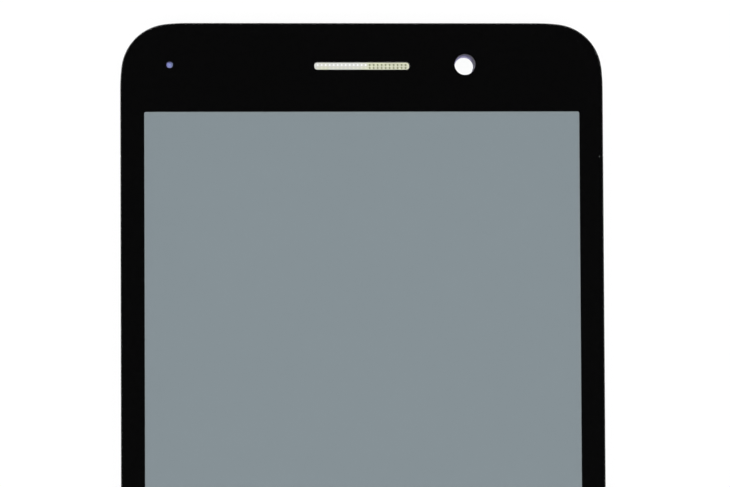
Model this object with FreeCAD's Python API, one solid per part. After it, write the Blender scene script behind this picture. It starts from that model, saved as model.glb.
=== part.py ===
import FreeCAD, Part
import math
import os

from FreeCAD import Vector

# Phone display assembly: cover glass, touch sensor, liquid crystal cell and backlight in one stack.
# It lies on its back. X is to the right seen from the front, Y is towards the phone's top, Z is out
# of the glass. The origin is below the middle of the glass, level with the lowest face.
# All sizes are in millimetres.

# Picture area and the printed border around it
view_width = 62.1
view_height = 110.4
side_border = 3.50
top_border = 12.8
bottom_border = 15.9
print_overhang = 0.10
print_corner = 0.25

# Cover glass
glass_thickness = 0.70
corner_radius = 7.05
corner_flank_radius = 27.05
corner_flank_angle = 6.5
front_edge_radius = 0.35
back_edge_chamfer = 0.08
edge_chip_drop = 19.0
edge_chip_radius = 0.20
left_chip_depth = 0.065
right_chip_depth = 0.06

# Earpiece slot, camera window and indicator window, placed from the top edge of the glass
slot_width = 13.60
slot_height = 1.07
slot_corner = 0.42
slot_edge_chamfer = 0.06
slot_x = -0.10
slot_drop = 6.18
camera_window = 3.00
camera_from_slot = 8.025
camera_drop = 5.93
indicator_window = 0.95
indicator_inset = 7.03
indicator_drop = 5.96

# Print, adhesives and touch sensor
ink_thickness = 0.03
ink_edge_inset = 0.05
adhesive_thickness = 0.15
adhesive_inset = 0.20
sensor_thickness = 0.20
sensor_corner = 1.0
sensor_past_tray_top = 0.30
sensor_past_tray_bottom = 1.30

# Adhesive ring that holds the border to the phone's frame
ring_thickness = 0.25
ring_edge_inset = 0.30
ring_side_width = 0.75
ring_end_width = 2.35
ring_inner_corner = 6.0
ring_clearance = 0.20

# Liquid crystal cell
polarizer_margin = 0.30
front_polarizer_thickness = 0.14
rear_polarizer_thickness = 0.12
filter_glass_thickness = 0.20
tft_glass_thickness = 0.20
cell_side_gap = 0.30
cell_top_gap = 0.40
cell_bottom_gap = 0.70
filter_bottom_margin = 1.90
chip_length = 24.0
chip_width = 1.20
chip_height = 0.20
chip_gap = 0.20
chip_to_flex_gap = 0.30
display_bond = 1.00

# Backlight, from the tape that holds the cell down to the steel tray
shield_thickness = 0.05
shield_clearance = 0.10
film_gap = 0.03
prism_thickness = 0.09
diffuser_thickness = 0.06
guide_thickness = 0.40
guide_entry_thickness = 0.55
guide_land = 1.00
guide_ramp = 1.10
reflector_thickness = 0.08
film_margin = 0.60
film_clearance = 0.10
frame_wall = 0.40
frame_top_wall = 0.65
tray_sheet = 0.15
tray_corner = 0.60
rim_drop = 0.12
hook_length = 2.80
hook_height = 0.26
hook_recess = 0.04
hook_clearance = 0.10
hook_count = 4
hook_pitch = 26.0

# Side lamps on their own flex
led_count = 12
led_end_gap = 2.65
led_length = 3.0
led_depth = 1.0
led_height = 0.50
led_gap = 0.05
led_back_gap = 0.60
led_flex_thickness = 0.10
led_flex_lap = 0.90
led_flex_end_inset = 0.60
led_tail_gap = 4.0
led_tail_width = 4.0
led_tail_reach = 7.0
led_tail_clearance = 0.30

# Flexes folded round the lower edge of the tray
flex_thickness = 0.12
flex_standoff = 0.15
bend_clearance = 0.15
flex_corner = 0.80
display_flex_width = 26.0
display_board_length = 22.0
display_ear_start = 3.5
display_ear_length = 5.0
display_neck_width = 9.0
display_neck_inset = 1.50
display_neck_length = 20.0
display_head_width = 14.0
display_head_length = 6.0
touch_flex_width = 10.0
touch_flex_inset = 3.30
touch_bond = 1.20
touch_board_length = 15.0
touch_neck_width = 4.5
touch_neck_length = 15.0
touch_head_width = 8.6
touch_head_length = 5.4
tape_inset = 0.60

# Board connectors
connector_height = 0.70
connector_corner = 0.15
trough_corner = 0.10
connector_depth = 2.20
connector_wall = 0.55
connector_floor = 0.22
connector_end = 0.90
contact_pitch = 0.40
contact_width = 0.16
contact_sheet = 0.06
contact_foot = 0.32
contact_rise = 0.42
display_contacts = 20
touch_contacts = 8

# Parts on the flexes
touch_chip_size = 5.0
touch_chip_height = 0.50
touch_chip_corner = 0.10
touch_part_gap = 1.15
touch_part_pitch = 1.90
touch_part_count = 4
large_part = (1.60, 0.80, 0.60)
large_part_pitch = 3.40
large_part_count = 5
small_part = (1.00, 0.50, 0.40)
small_part_pitch = 2.30
small_part_count = 8
small_part_rows = 2
part_row_pitch = 2.80

# Parts behind the windows in the border
mesh_thickness = 0.08
mesh_margin = 1.60
mesh_columns = 23
mesh_pitch = 0.573
mesh_row_pitch = 0.42
mesh_hole = 0.28
mesh_open_columns = 13
gasket_height = 1.00
gasket_rim = 0.90
felt_thickness = 0.12
felt_clearance = 0.05
camera_gasket_height = 2.10
camera_gasket_wall = 1.20
camera_gasket_exit = 2.68
camera_gasket_inset = 0.17
camera_gasket_drop = 0.14
light_pin_head = 2.20
light_pin_head_height = 0.30
light_pin_stem = 1.30
light_pin_length = 1.60

# Largest share of a plate's short side that a corner's radius may take
corner_share = 0.49

# Widths and heights that follow from the sizes above
glass_width = view_width + 2 * side_border
glass_height = view_height + top_border + bottom_border
glass_top = glass_height / 2
view_top = glass_top - top_border
view_bottom = view_top - view_height
view_side = view_width / 2
slot_y = glass_top - slot_drop
camera_x = slot_x + slot_width / 2 + camera_from_slot
camera_y = glass_top - camera_drop
indicator_x = indicator_inset - glass_width / 2
indicator_y = glass_top - indicator_drop
film_side = view_side + film_margin
film_top = view_top + film_margin
film_bottom = view_bottom - film_margin
frame_side = film_side + film_clearance + frame_wall
frame_top = film_top + film_clearance + frame_top_wall
tray_side = frame_side + tray_sheet
tray_top = frame_top + tray_sheet
cell_side = tray_side - cell_side_gap
cell_top = tray_top - cell_top_gap
filter_bottom = view_bottom - filter_bottom_margin
chip_y = filter_bottom - chip_gap - chip_width / 2
display_flex_front = chip_y - chip_width / 2 - chip_to_flex_gap
tft_bottom = display_flex_front - display_bond
tray_bottom = tft_bottom - cell_bottom_gap
frame_bottom = tray_bottom + tray_sheet
led_y = frame_bottom + frame_wall + led_back_gap + led_depth / 2
guide_entry = led_y + led_depth / 2 + led_gap
led_pitch = (2 * (film_side - led_end_gap) - led_length) / (led_count - 1)
led_tail_x = (display_flex_width + led_tail_width) / 2 + led_tail_gap
display_neck_x = display_neck_inset + (display_neck_width - display_flex_width) / 2
touch_flex_x = touch_flex_inset + touch_flex_width / 2 - tray_side
sensor_side = glass_width / 2 - ring_edge_inset - ring_side_width - ring_clearance
sensor_top = tray_top + sensor_past_tray_top
sensor_bottom = tray_bottom - sensor_past_tray_bottom

# Levels from the lowest face up to the front of the glass
flex_outer_z = connector_height
flex_inner_z = flex_outer_z + flex_thickness
tray_under_z = flex_inner_z + flex_standoff
tray_floor_z = tray_under_z + tray_sheet
guide_under_z = tray_floor_z + reflector_thickness
guide_top_z = guide_under_z + guide_thickness
diffuser_top_z = guide_top_z + diffuser_thickness
lower_prism_top_z = diffuser_top_z + prism_thickness
upper_prism_top_z = lower_prism_top_z + prism_thickness
rear_polarizer_z = upper_prism_top_z + film_gap
tft_under_z = rear_polarizer_z + rear_polarizer_thickness
tft_top_z = tft_under_z + tft_glass_thickness
filter_top_z = tft_top_z + filter_glass_thickness
front_polarizer_top_z = filter_top_z + front_polarizer_thickness
sensor_under_z = front_polarizer_top_z + adhesive_thickness
sensor_top_z = sensor_under_z + sensor_thickness
ink_under_z = sensor_top_z + adhesive_thickness
glass_under_z = ink_under_z + ink_thickness
glass_top_z = glass_under_z + glass_thickness
frame_top_z = tft_under_z - shield_thickness
led_flex_z = guide_under_z + guide_entry_thickness
led_tail_inner_z = flex_inner_z + led_flex_thickness


def rounded_wire(x0, x1, y0, y1, radius, z):
    """Rectangle between the given sides with one quarter arc at each corner."""
    radius = min(radius, corner_share * (x1 - x0), corner_share * (y1 - y0))
    edges = []
    for sx, sy, cx, cy in ((1, 1, x1, y1), (-1, 1, x0, y1), (-1, -1, x0, y0), (1, -1, x1, y0)):
        centre = Vector(cx - sx * radius, cy - sy * radius, z)
        start = centre + Vector(sx * radius, 0, 0)
        middle = centre + Vector(sx, sy, 0) * (radius / math.sqrt(2))
        end = centre + Vector(0, sy * radius, 0)
        edges.append(Part.Arc(start, middle, end).toShape())
    for x in (x0, x1):
        edges.append(Part.LineSegment(Vector(x, y0 + radius, z), Vector(x, y1 - radius, z)).toShape())
    for y in (y0, y1):
        edges.append(Part.LineSegment(Vector(x0 + radius, y, z), Vector(x1 - radius, y, z)).toShape())
    return Part.Wire(Part.__sortEdges__(edges))


def rounded_plate(x0, x1, y0, y1, radius, z0, z1):
    """Flat plate with rounded corners between two levels."""
    return Part.Face(rounded_wire(x0, x1, y0, y1, radius, z0)).extrude(Vector(0, 0, z1 - z0))


def square_plate(x0, x1, y0, y1, z0, z1):
    """Flat plate with square corners between two levels."""
    return Part.makeBox(x1 - x0, y1 - y0, z1 - z0, Vector(x0, y0, z0))


def centred_plate(x, y, width, depth, radius, z0, z1):
    """Rounded plate given by its middle and its size."""
    return rounded_plate(x - width / 2, x + width / 2, y - depth / 2, y + depth / 2, radius, z0, z1)


def disc(x, y, diameter, z0, z1):
    """Upright round pin or hole between two levels."""
    return Part.makeCylinder(diameter / 2, z1 - z0, Vector(x, y, z0))


def view_plate(side, top, bottom, radius, z0, z1):
    """Plate that reaches past the picture area by a margin on each side."""
    return rounded_plate(-view_side - side, view_side + side, view_bottom - bottom, view_top + top,
                         radius, z0, z1)


def glass_outline(inset, z):
    """Outline of the glass moved inwards: each corner is a tight arc between two wide tangent arcs."""
    half_width = glass_width / 2 - inset
    half_height = glass_height / 2 - inset
    wide = corner_flank_radius - inset
    tight = corner_radius - inset
    sine = math.sin(math.radians(corner_flank_angle))
    cosine = math.cos(math.radians(corner_flank_angle))
    reach = wide * (1 - cosine + sine) + tight * (cosine - sine)
    start = Vector(half_width, half_height - reach, z)
    wide_centre = start - Vector(wide, 0, 0)
    joint = wide_centre + Vector(cosine, sine, 0) * wide
    tight_centre = joint - Vector(cosine, sine, 0) * tight
    crown = tight_centre + Vector(1, 1, 0) * (tight / math.sqrt(2))
    half_angle = math.radians(corner_flank_angle / 2)
    flank = wide_centre + Vector(math.cos(half_angle), math.sin(half_angle), 0) * wide

    def across(point):
        """Mirror of a point in the corner's diagonal."""
        return Vector(half_width - half_height + point.y, half_height - half_width + point.x, z)

    far_arc = (across(joint), across(flank), across(start))
    arcs = ((start, flank, joint), (joint, crown, across(joint)), far_arc)
    edges = []
    for sx, sy in ((1, 1), (-1, 1), (-1, -1), (1, -1)):
        for arc in arcs:
            points = [Vector(sx * point.x, sy * point.y, z) for point in arc]
            edges.append(Part.Arc(*points).toShape())
    for sign in (1, -1):
        side = Vector(sign * half_width, half_height - reach, z)
        edges.append(Part.LineSegment(side, Vector(side.x, -side.y, z)).toShape())
        end = Vector(half_width - reach, sign * half_height, z)
        edges.append(Part.LineSegment(end, Vector(-end.x, end.y, z)).toShape())
    return Part.Wire(Part.__sortEdges__(edges))


def glass_plate(inset, z0, z1):
    """Plate with the outline of the glass moved inwards."""
    return Part.Face(glass_outline(inset, z0)).extrude(Vector(0, 0, z1 - z0))


def edges_at(shape, z):
    """Edges that lie wholly at one level."""
    return [e for e in shape.Edges if abs(e.BoundBox.ZMin - z) < 1e-6 and abs(e.BoundBox.ZMax - z) < 1e-6]


def slot_plate(grow, z0, z1):
    """The earpiece slot as a solid, grown all round."""
    radius = slot_corner + grow
    return centred_plate(slot_x, slot_y, slot_width + 2 * grow, slot_height + 2 * grow, radius, z0, z1)


def print_opening(z0, z1):
    """The clear field inside the printed border."""
    return view_plate(print_overhang, print_overhang, print_overhang, print_corner, z0, z1)


def bent_strip(x0, x1, front_y, bend_y, back_y, front_z, back_z, thickness):
    """Strip that runs to the bend, turns half round and comes back below. Both levels are its inner face."""
    middle = (front_z + back_z) / 2
    inner = (front_z - back_z) / 2
    outer = inner + thickness

    def point(y, z):
        return Vector(x0, y, z)

    def line(a, b):
        return Part.LineSegment(a, b).toShape()

    outer_arc = (point(bend_y, middle + outer), point(bend_y - outer, middle), point(bend_y, middle - outer))
    inner_arc = (point(bend_y, middle - inner), point(bend_y - inner, middle), point(bend_y, middle + inner))
    wire = Part.Wire([
        line(point(front_y, middle + outer), outer_arc[0]),
        Part.Arc(*outer_arc).toShape(),
        line(outer_arc[2], point(back_y, middle - outer)),
        line(point(back_y, middle - outer), point(back_y, middle - inner)),
        line(point(back_y, middle - inner), inner_arc[0]),
        Part.Arc(*inner_arc).toShape(),
        line(inner_arc[2], point(front_y, middle + inner)),
        line(point(front_y, middle + inner), point(front_y, middle + outer)),
    ])
    return Part.Face(wire).extrude(Vector(x1 - x0, 0, 0))


def joined(first, others):
    """One solid made of pieces that overlap or share a face."""
    return first.fuse(others).removeSplitter()


def cover_glass():
    """Glass with a rounded front edge, a back chamfer, the earpiece slot and a small chip in each side."""
    glass = glass_plate(0, glass_under_z, glass_top_z)
    glass = glass.makeFillet(front_edge_radius, edges_at(glass, glass_top_z))
    glass = glass.makeChamfer(back_edge_chamfer, edges_at(glass, glass_under_z))
    glass = glass.cut(slot_plate(0, glass_under_z, glass_top_z))
    mouth = slot_plate(slot_edge_chamfer, glass_under_z, glass_top_z)
    rim = [e for e in edges_at(glass, glass_top_z) if mouth.isInside(e.CenterOfMass, 1e-6, True)]
    glass = glass.makeChamfer(slot_edge_chamfer, rim)
    chips = []
    for side, depth in ((-1, left_chip_depth), (1, right_chip_depth)):
        x = side * (glass_width / 2 - depth + edge_chip_radius)
        chips.append(disc(x, glass_top - edge_chip_drop, 2 * edge_chip_radius, glass_under_z, glass_top_z))
    return glass.cut(chips)


def border_ink():
    """Black print under the glass, open over the picture, the slot and the two windows."""
    ink = glass_plate(back_edge_chamfer + ink_edge_inset, ink_under_z, glass_under_z)
    return ink.cut([
        print_opening(ink_under_z, glass_under_z),
        slot_plate(0, ink_under_z, glass_under_z),
        disc(camera_x, camera_y, camera_window, ink_under_z, glass_under_z),
        disc(indicator_x, indicator_y, indicator_window, ink_under_z, glass_under_z),
    ])


def frame_adhesive():
    """Die-cut adhesive ring under the border."""
    ring = glass_plate(ring_edge_inset, ink_under_z - ring_thickness, ink_under_z)
    half_width = glass_width / 2 - ring_edge_inset - ring_side_width
    half_height = glass_height / 2 - ring_edge_inset - ring_end_width
    return ring.cut(rounded_plate(-half_width, half_width, -half_height, half_height, ring_inner_corner,
                                  ink_under_z - ring_thickness, ink_under_z))


def upper_optical_adhesive():
    """Clear adhesive over the sensor, raised into the opening of the print."""
    side = sensor_side - adhesive_inset
    layer = rounded_plate(-side, side, sensor_bottom + adhesive_inset, sensor_top - adhesive_inset,
                          sensor_corner, sensor_top_z, ink_under_z)
    return joined(layer, [print_opening(sensor_top_z, glass_under_z)])


def touch_sensor():
    """Clear film that carries the touch electrodes."""
    return rounded_plate(-sensor_side, sensor_side, sensor_bottom, sensor_top, sensor_corner,
                         sensor_under_z, sensor_top_z)


def polarizer_field(z0, z1):
    """Plate with the size of both polarizers."""
    margin = polarizer_margin
    return view_plate(margin, margin, margin, print_corner, z0, z1)


def cell_glass(bottom, z0, z1):
    """Sheet of the liquid crystal cell, with square cut corners."""
    return square_plate(-cell_side, cell_side, bottom, cell_top, z0, z1)


def driver_chip():
    """Bare chip on the ledge of the lower glass, beside the upper glass."""
    half_length = chip_length / 2
    half_width = chip_width / 2
    return square_plate(-half_length, half_length, chip_y - half_width, chip_y + half_width,
                        tft_top_z, tft_top_z + chip_height)


def light_shield_tape():
    """Black tape that joins the cell to the frame and covers the side lamps."""
    margin = polarizer_margin + shield_clearance
    tape = rounded_plate(-frame_side, frame_side, frame_bottom, frame_top, tray_corner - tray_sheet,
                         frame_top_z, tft_under_z)
    return tape.cut(view_plate(margin, margin, margin, print_corner, frame_top_z, tft_under_z))


def film(bottom, z0, z1):
    """Sheet of the film stack between two levels."""
    return square_plate(-film_side, film_side, bottom, film_top, z0, z1)


def light_guide_plate():
    """Clear plate with a thicker entry along the lamps that slopes down to its even thickness."""
    profile = [
        (guide_entry, guide_under_z),
        (film_top, guide_under_z),
        (film_top, guide_top_z),
        (guide_entry + guide_land + guide_ramp, guide_top_z),
        (guide_entry + guide_land, led_flex_z),
        (guide_entry, led_flex_z),
        (guide_entry, guide_under_z),
    ]
    face = Part.Face(Part.makePolygon([Vector(-film_side, y, z) for y, z in profile]))
    return face.extrude(Vector(2 * film_side, 0, 0))


def hook_places():
    """The side's sign and the middle of each hook, along both sides of the tray."""
    middle = (tray_top + tray_bottom) / 2
    first = middle - hook_pitch * (hook_count - 1) / 2
    return [(sign, first + hook_pitch * i) for sign in (-1, 1) for i in range(hook_count)]


def led_tail_notch(z0, z1):
    """Passage for the lamp flex's tail through the lower wall."""
    half = led_tail_width / 2 + led_tail_clearance
    return square_plate(led_tail_x - half, led_tail_x + half, tray_bottom, frame_bottom + frame_wall, z0, z1)


def backlight_frame():
    """White moulded ring inside the tray, with hooks that catch in the tray's rim."""
    ring = rounded_plate(-frame_side, frame_side, frame_bottom, frame_top, tray_corner - tray_sheet,
                         tray_floor_z, frame_top_z)
    inner_side = film_side + film_clearance
    inner_top = film_top + film_clearance
    ring = ring.cut(square_plate(-inner_side, inner_side, frame_bottom + frame_wall, inner_top,
                                 tray_floor_z, frame_top_z))
    hooks = []
    z = (tray_floor_z + frame_top_z) / 2
    for sign, y in hook_places():
        x0, x1 = sorted((sign * (frame_side - frame_wall / 2), sign * (tray_side - hook_recess)))
        hooks.append(square_plate(x0, x1, y - hook_length / 2, y + hook_length / 2,
                                  z - hook_height / 2, z + hook_height / 2))
    ring = joined(ring, hooks)
    return ring.cut(led_tail_notch(led_flex_z, frame_top_z))


def backlight_tray():
    """Folded steel tray with windows for the hooks and a notch for the lamp flex's tail."""
    rim_z = frame_top_z - rim_drop
    tray = rounded_plate(-tray_side, tray_side, tray_bottom, tray_top, tray_corner, tray_under_z, rim_z)
    hollow = rounded_plate(-frame_side, frame_side, frame_bottom, frame_top, tray_corner - tray_sheet,
                           tray_floor_z, rim_z)
    windows = []
    z = (tray_floor_z + frame_top_z) / 2
    length = hook_length / 2 + hook_clearance
    height = hook_height / 2 + hook_clearance / 2
    for sign, y in hook_places():
        x0, x1 = sorted((sign * frame_side, sign * tray_side))
        windows.append(square_plate(x0, x1, y - length, y + length, z - height, z + height))
    notch = led_tail_notch(tray_floor_z, rim_z)
    return tray.cut([hollow, notch] + windows)


def led_flex():
    """Strip over the lamps, with a tail that folds round the tray's edge and ends under the ear."""
    side = film_side - led_flex_end_inset
    y1 = guide_entry + led_flex_lap
    y0 = frame_bottom + frame_wall + film_clearance
    strip = square_plate(-side, side, y0, y1, led_flex_z, led_flex_z + led_flex_thickness)
    half = led_tail_width / 2
    tail = bent_strip(led_tail_x - half, led_tail_x + half, y0, tray_bottom - bend_clearance,
                      tray_bottom + led_tail_reach, led_flex_z, led_tail_inner_z, led_flex_thickness)
    return joined(strip, [tail])


def leds():
    """Row of side lamps that face the entry of the light guide."""
    lamps = []
    for i in range(led_count):
        x = (i - (led_count - 1) / 2) * led_pitch
        lamps.append(square_plate(x - led_length / 2, x + led_length / 2, led_y - led_depth / 2,
                                  led_y + led_depth / 2, led_flex_z - led_height, led_flex_z))
    return Part.makeCompound(lamps)


def display_outline():
    """Places on the display flex behind the tray: ends of the board, the neck and the head."""
    board_end = tray_bottom + display_board_length
    neck_end = board_end + display_neck_length
    return board_end, neck_end, neck_end + display_head_length


def display_flex():
    """Flex from the ledge of the lower glass, round the tray's edge, with its board, neck and head."""
    half = display_flex_width / 2
    board_end, neck_end, head_end = display_outline()
    strip = bent_strip(-half, half, display_flex_front, tray_bottom - bend_clearance,
                       tray_bottom + 2 * flex_corner, tft_top_z, flex_inner_z, flex_thickness)
    levels = (flex_outer_z, flex_inner_z)
    ear_y = tray_bottom + display_ear_start
    ear_x = led_tail_x + led_tail_width / 2 + flex_corner
    pieces = [
        rounded_plate(-half, half, tray_bottom, board_end, flex_corner, *levels),
        rounded_plate(0, ear_x, ear_y, ear_y + display_ear_length, flex_corner, *levels),
        centred_plate(display_neck_x, (board_end + neck_end) / 2, display_neck_width,
                      display_neck_length + 4 * flex_corner, flex_corner, *levels),
        rounded_plate(display_neck_x - display_head_width / 2, display_neck_x + display_head_width / 2,
                      neck_end, head_end, flex_corner, *levels),
    ]
    return joined(strip, pieces)


def touch_outline():
    """Places on the touch flex behind the tray: ends of the board, the neck and the head."""
    board_end = tray_bottom + touch_board_length
    neck_end = board_end + touch_neck_length
    return board_end, neck_end, neck_end + touch_head_length


def touch_flex():
    """Flex from the lower edge of the sensor, round the tray's edge, with its board, neck and head."""
    x0 = touch_flex_x - touch_flex_width / 2
    x1 = touch_flex_x + touch_flex_width / 2
    board_end, neck_end, head_end = touch_outline()
    strip = bent_strip(x0, x1, sensor_bottom + touch_bond, sensor_bottom - bend_clearance,
                       tray_bottom + 2 * flex_corner, sensor_under_z - flex_thickness, flex_inner_z,
                       flex_thickness)
    levels = (flex_outer_z, flex_inner_z)
    pieces = [
        rounded_plate(x0, x1, tray_bottom, board_end, flex_corner, *levels),
        centred_plate(touch_flex_x, (board_end + neck_end) / 2, touch_neck_width,
                      touch_neck_length + 4 * flex_corner, flex_corner, *levels),
        centred_plate(touch_flex_x, (neck_end + head_end) / 2, touch_head_width, touch_head_length,
                      flex_corner, *levels),
    ]
    return joined(strip, pieces)


def flex_tape(x0, x1, y0, y1):
    """Double-sided tape between a flex and the tray."""
    return rounded_plate(x0 + tape_inset, x1 - tape_inset, y0 + tape_inset, y1 - tape_inset, flex_corner,
                         flex_inner_z, tray_under_z)


def display_flex_tape():
    """Tape under the display flex's board."""
    half = display_flex_width / 2
    return flex_tape(-half, half, tray_bottom, display_outline()[0])


def touch_flex_tape():
    """Tape under the touch flex's board."""
    half = touch_flex_width / 2
    return flex_tape(touch_flex_x - half, touch_flex_x + half, tray_bottom, touch_outline()[0])


def display_stiffener():
    """Plate that backs the display connector, between the head and the tray."""
    neck_end, head_end = display_outline()[1:]
    half = display_head_width / 2
    return rounded_plate(display_neck_x - half, display_neck_x + half, neck_end, head_end, flex_corner,
                         flex_inner_z, tray_under_z)


def touch_stiffener():
    """Plate that backs the touch connector, between the head and the tray."""
    neck_end, head_end = touch_outline()[1:]
    return centred_plate(touch_flex_x, (neck_end + head_end) / 2, touch_head_width, touch_head_length,
                         flex_corner, flex_inner_z, tray_under_z)


def connector_length(count):
    """Length of a connector with the given contacts in each row."""
    return contact_pitch * (count - 1) + 2 * connector_end


def connector_body(x, y, count):
    """Moulded plug: a trough that opens away from the flex."""
    length = connector_length(count)
    body = centred_plate(x, y, length, connector_depth, connector_corner, 0, connector_height)
    trough = centred_plate(x, y, length - 2 * connector_wall, connector_depth - 2 * connector_wall,
                           trough_corner, 0, connector_height - connector_floor)
    return body.cut(trough)


def connector_contacts(x, y, count):
    """Two rows of contacts: each has a foot on the flex and a riser on the plug's wall."""
    contacts = []
    for side in (-1, 1):
        for i in range(count):
            left = x + (i - (count - 1) / 2) * contact_pitch - contact_width / 2
            wall = y + side * connector_depth / 2
            foot = sorted((wall, wall + side * contact_foot))
            riser = sorted((wall, wall + side * contact_sheet))
            low = connector_height - contact_sheet
            contacts.append(joined(
                square_plate(left, left + contact_width, *foot, low, connector_height),
                [square_plate(left, left + contact_width, *riser, connector_height - contact_rise, low)]))
    return Part.makeCompound(contacts)


def display_connector_place():
    """Middle of the display connector."""
    neck_end, head_end = display_outline()[1:]
    return display_neck_x, (neck_end + head_end) / 2


def touch_connector_place():
    """Middle of the touch connector."""
    neck_end, head_end = touch_outline()[1:]
    return touch_flex_x, (neck_end + head_end) / 2


def touch_controller_chip():
    """Packaged chip on the touch flex's board."""
    y = tray_bottom + touch_board_length / 2
    return centred_plate(touch_flex_x, y, touch_chip_size, touch_chip_size, touch_chip_corner,
                         flex_outer_z - touch_chip_height, flex_outer_z)


def block(x, y, size):
    """Small part soldered on the outer face of a flex."""
    length, width, height = size
    return square_plate(x - length / 2, x + length / 2, y - width / 2, y + width / 2,
                        flex_outer_z - height, flex_outer_z)


def part_row(x, y, count, pitch, size):
    """Evenly spaced small parts about a middle."""
    return [block(x + (i - (count - 1) / 2) * pitch, y, size) for i in range(count)]


def flex_components():
    """Capacitors and resistors on the two boards: a row of large ones and rows of small ones."""
    parts = part_row(0, tray_bottom + display_board_length / 2 + part_row_pitch,
                     large_part_count, large_part_pitch, large_part)
    for row in range(small_part_rows):
        y = tray_bottom + display_board_length / 2 - row * part_row_pitch
        parts += part_row(0, y, small_part_count, small_part_pitch, small_part)
    top = tray_bottom + (touch_board_length + touch_chip_size) / 2 + touch_part_gap + small_part[1] / 2
    parts += part_row(touch_flex_x, top, touch_part_count, touch_part_pitch, small_part)
    return Part.makeCompound(parts)


def mesh_hole_places():
    """Middles of the mesh's holes: two rows of equal columns."""
    places = []
    for i in range(mesh_columns):
        x = slot_x + (i - (mesh_columns - 1) / 2) * mesh_pitch
        for side in (-1, 1):
            places.append((x, slot_y + side * mesh_row_pitch / 2))
    return places


def earpiece_mesh():
    """Thin sheet with two rows of round holes, under the slot."""
    width = slot_width + 2 * mesh_margin
    depth = slot_height + 2 * mesh_margin
    low = ink_under_z - mesh_thickness
    sheet = centred_plate(slot_x, slot_y, width, depth, slot_corner, low, ink_under_z)
    return sheet.cut([disc(x, y, mesh_hole, low, ink_under_z) for x, y in mesh_hole_places()])


def gasket_window():
    """Width and depth of the opening in the earpiece gasket."""
    return (slot_width + 2 * (mesh_margin - gasket_rim), slot_height + 2 * (mesh_margin - gasket_rim))


def earpiece_gasket():
    """Foam ring between the mesh and the earpiece."""
    width = slot_width + 2 * mesh_margin
    depth = slot_height + 2 * mesh_margin
    high = ink_under_z - mesh_thickness
    low = high - gasket_height
    opening = gasket_window()
    foam = centred_plate(slot_x, slot_y, width, depth, slot_corner, low, high)
    return foam.cut(centred_plate(slot_x, slot_y, *opening, slot_corner, low, high))


def earpiece_felt():
    """Dust felt inside the gasket: whole behind the right columns, and only behind the lower row at left."""
    width, depth = gasket_window()
    high = ink_under_z - mesh_thickness
    low = high - felt_thickness
    felt = centred_plate(slot_x, slot_y, width - 2 * felt_clearance, depth - 2 * felt_clearance,
                         slot_corner, low, high)
    split = slot_x + (mesh_open_columns - mesh_columns / 2) * mesh_pitch
    return felt.cut(square_plate(slot_x - width / 2, split, slot_y, slot_y + depth / 2, low, high))


def camera_gasket():
    """Ring behind the camera window, a little lower than it, whose bore narrows towards the camera."""
    outer = camera_window + 2 * camera_gasket_wall
    low = ink_under_z - camera_gasket_height
    y = camera_y - camera_gasket_drop
    ring = disc(camera_x, y, outer, low, ink_under_z)
    entry = camera_window / 2 + camera_gasket_inset
    bore = Part.makeCone(camera_gasket_exit / 2, entry, camera_gasket_height, Vector(camera_x, y, low))
    return ring.cut(bore)


def indicator_light_guide():
    """Clear pin with a flat head against the window and a stem towards the indicator lamp."""
    head = disc(indicator_x, indicator_y, light_pin_head, ink_under_z - light_pin_head_height, ink_under_z)
    stem = disc(indicator_x, indicator_y, light_pin_stem, ink_under_z - light_pin_length, ink_under_z)
    return joined(head, [stem])


def build():
    """Every piece by its node's name."""
    display_place = display_connector_place()
    touch_place = touch_connector_place()
    return {
        "cover_glass": cover_glass(),
        "border_ink": border_ink(),
        "frame_adhesive": frame_adhesive(),
        "upper_optical_adhesive": upper_optical_adhesive(),
        "touch_sensor_film": touch_sensor(),
        "lower_optical_adhesive": polarizer_field(front_polarizer_top_z, sensor_under_z),
        "front_polarizer": polarizer_field(filter_top_z, front_polarizer_top_z),
        "color_filter_glass": cell_glass(filter_bottom, tft_top_z, filter_top_z),
        "tft_glass": cell_glass(tft_bottom, tft_under_z, tft_top_z),
        "rear_polarizer": polarizer_field(rear_polarizer_z, tft_under_z),
        "driver_chip": driver_chip(),
        "light_shield_tape": light_shield_tape(),
        "upper_prism_film": film(film_bottom, lower_prism_top_z, upper_prism_top_z),
        "lower_prism_film": film(film_bottom, diffuser_top_z, lower_prism_top_z),
        "diffuser_film": film(film_bottom, guide_top_z, diffuser_top_z),
        "light_guide_plate": light_guide_plate(),
        "reflector_film": film(guide_entry, tray_floor_z, guide_under_z),
        "backlight_frame": backlight_frame(),
        "backlight_tray": backlight_tray(),
        "led_flex": led_flex(),
        "leds": leds(),
        "display_flex": display_flex(),
        "display_flex_tape": display_flex_tape(),
        "display_stiffener": display_stiffener(),
        "display_connector": connector_body(*display_place, display_contacts),
        "display_connector_contacts": connector_contacts(*display_place, display_contacts),
        "touch_flex": touch_flex(),
        "touch_flex_tape": touch_flex_tape(),
        "touch_stiffener": touch_stiffener(),
        "touch_connector": connector_body(*touch_place, touch_contacts),
        "touch_connector_contacts": connector_contacts(*touch_place, touch_contacts),
        "touch_controller_chip": touch_controller_chip(),
        "flex_components": flex_components(),
        "earpiece_mesh": earpiece_mesh(),
        "earpiece_gasket": earpiece_gasket(),
        "earpiece_felt": earpiece_felt(),
        "camera_gasket": camera_gasket(),
        "indicator_light_guide": indicator_light_guide(),
    }


os.makedirs("parts", exist_ok=True)
for name, shape in build().items():
    shape.exportStep(os.path.join("parts", name + ".step"))
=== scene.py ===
import math

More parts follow.
